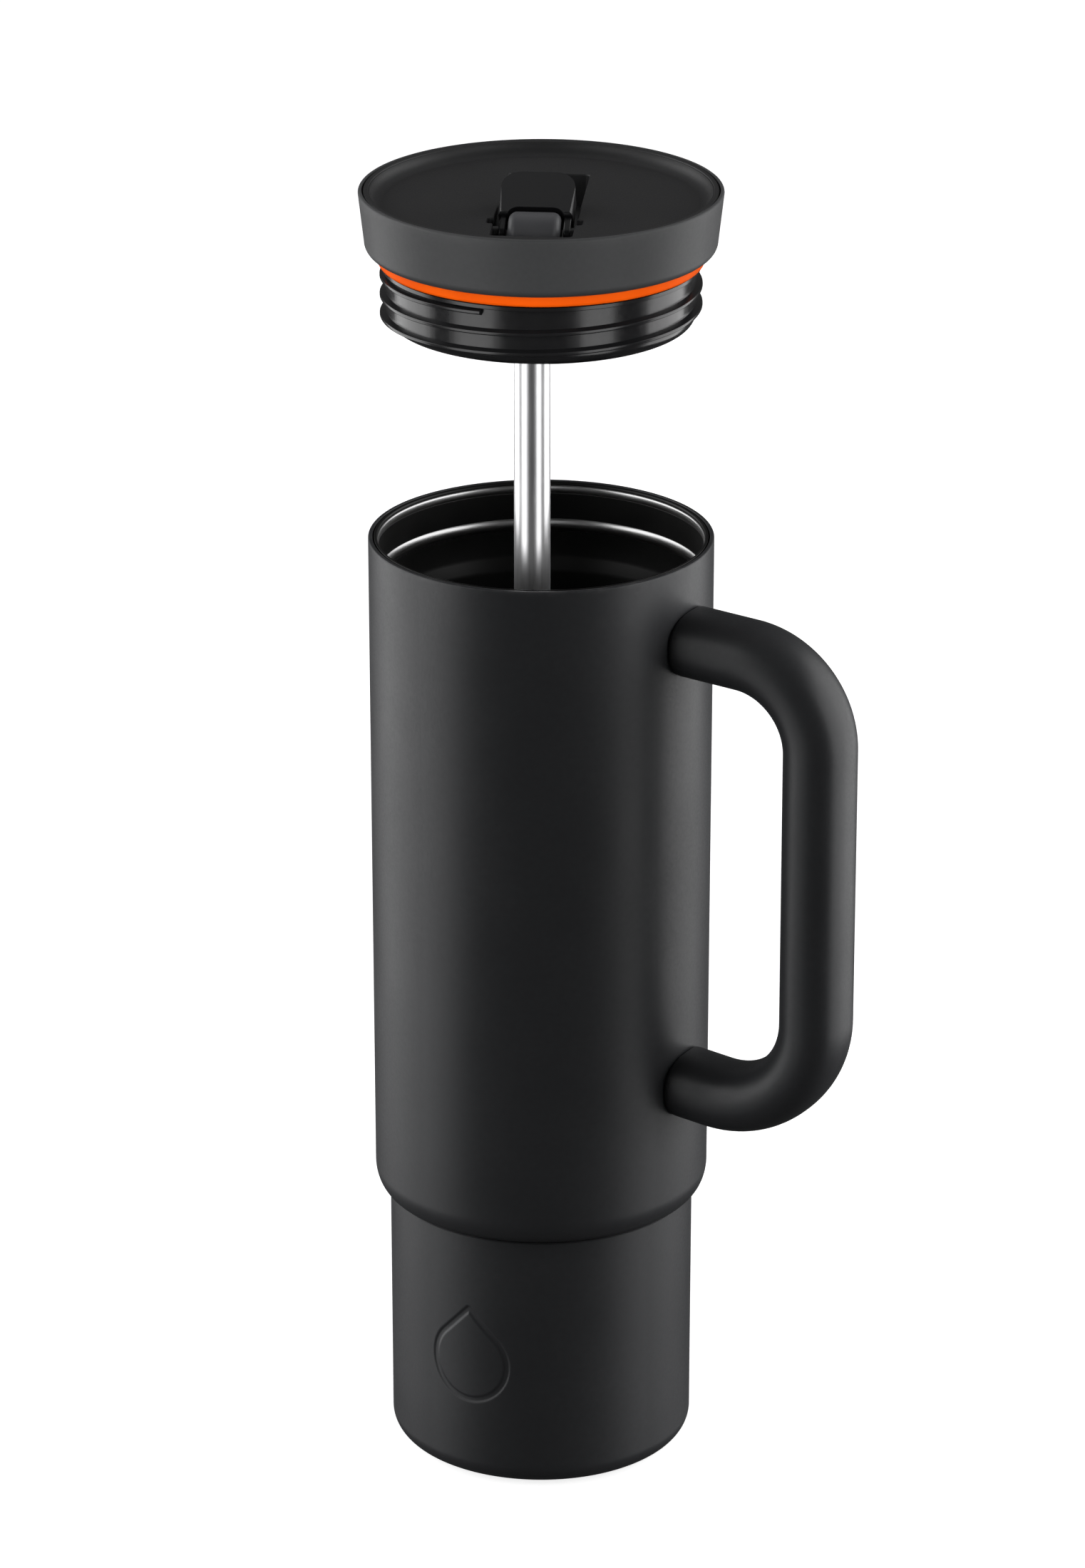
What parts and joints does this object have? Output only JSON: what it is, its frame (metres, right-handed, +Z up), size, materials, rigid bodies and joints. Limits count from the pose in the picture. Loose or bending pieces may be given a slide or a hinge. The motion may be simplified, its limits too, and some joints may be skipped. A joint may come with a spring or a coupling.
{
  "type": "insulated travel mug",
  "caption": "Double-walled insulated mug with a side handle, cup-holder base and a screw lid carrying a flip spout and a straw.",
  "frame": {"origin": "centre of the flat underside of the base pad, on the mug's axis", "axes": "+Z up along the mug's axis towards the mouth; the handle points between +X and -Y, 31 degrees round from +X"},
  "size_m": [0.11, 0.0859, 0.3052],
  "materials": {
    "paint": "satin charcoal powder coat",
    "steel": "satin steel",
    "getter_metal": "dull",
    "pad_rubber": "matte",
    "orange_silicone": "satin silicone",
    "lid_grey": "soft matte",
    "lid_black": "fine matte grain",
    "plug_black": "satin black",
    "foam": "foam",
    "valve_silicone": "satin silicone",
    "spout_black": "satin",
    "drum_grey": "satin silicone",
    "straw_steel": "polished"
  },
  "bodies": {
    "mug": {"upper_shell": "paint", "lower_shell": "paint", "inner_liner": "steel", "base_cap": "paint", "base_pad": "pad_rubber", "vacuum_plug": "steel", "getter": "getter_metal", "handle": "paint", "handle_boss_top": "steel", "handle_boss_low": "steel"},
    "lid_seal": {"lid_gasket": "orange_silicone"},
    "lid": {"lid_band": "lid_grey", "lid_deck": "lid_black", "thread_plug": "plug_black", "lid_insulation": "foam", "straw_socket": "plug_black", "straw_grommet": "orange_silicone", "vent_valve": "valve_silicone"},
    "spout": {"spout": "spout_black", "spout_drum": "drum_grey"},
    "straw": {"straw": "straw_steel"}
  },
  "joints": [
    {"name": "lid_lift", "type": "slide", "parent": "mug", "child": "lid_seal", "axis": [0, 0, 1], "range_m": [-0.0663, 0.14]},
    {"name": "lid_turn", "type": "hinge", "parent": "lid_seal", "child": "lid", "pos_m": [0, 0, 0.2845], "axis": [0, 0, 1], "continuous": true},
    {"name": "spout_flip", "type": "hinge", "parent": "lid", "child": "spout", "pos_m": [-0.00138, -0.01574, 0.2949], "axis": [-0.9962, 0.0872, 0], "range_deg": [-60, 30]},
    {"name": "straw_pull", "type": "slide", "parent": "lid", "child": "straw", "axis": [0, 0, 1], "range_m": [-0.01, 0]}
  ]
}
